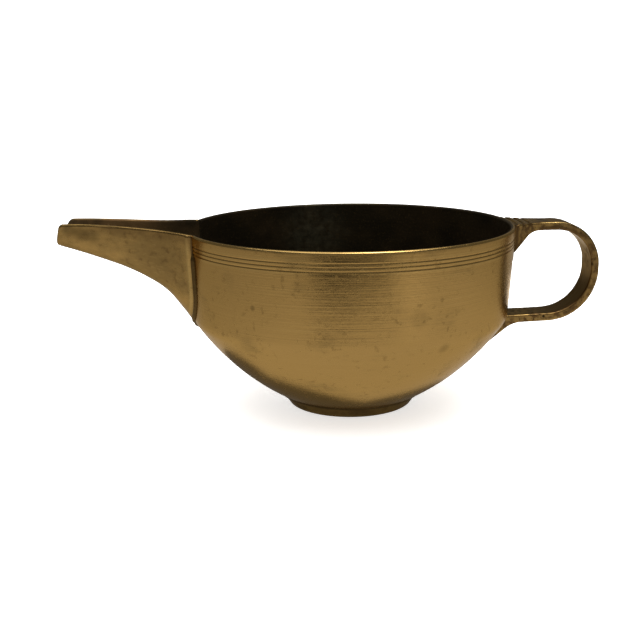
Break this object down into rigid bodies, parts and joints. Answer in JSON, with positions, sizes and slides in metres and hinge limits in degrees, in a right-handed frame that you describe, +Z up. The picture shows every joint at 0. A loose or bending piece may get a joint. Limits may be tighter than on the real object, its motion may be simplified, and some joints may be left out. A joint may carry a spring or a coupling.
{
  "type": "sauce boat",
  "caption": "Round footed brass sauce boat with a long open pouring spout, turned lines below the rim and a cast strap loop handle.",
  "frame": {"origin": "centre of the foot ring's resting face", "axes": "+Z up, +X towards the handle, -X towards the spout's tip; the XZ plane is the plane of symmetry"},
  "size_m": [0.2018, 0.1222, 0.0713],
  "materials": {
    "bowl_brass": "aged brass, satin outside with fine wear, dark brown patina inside",
    "foot_brass": "aged brass, turned, darker than the bowl",
    "spout_brass": "aged sheet brass, mottled, dark brown patina in the trough",
    "handle_brass": "aged cast brass, worn bright on its edges, brown in its hollows",
    "solder": "dull dark hard solder"
  },
  "bodies": {
    "root": {"bowl": "bowl_brass", "foot_ring": "foot_brass", "spout": "spout_brass", "handle": "handle_brass", "spout_solder": "solder", "handle_top_solder": "solder", "handle_heel_solder": "solder", "foot_solder": "solder"}
  },
  "joints": []
}
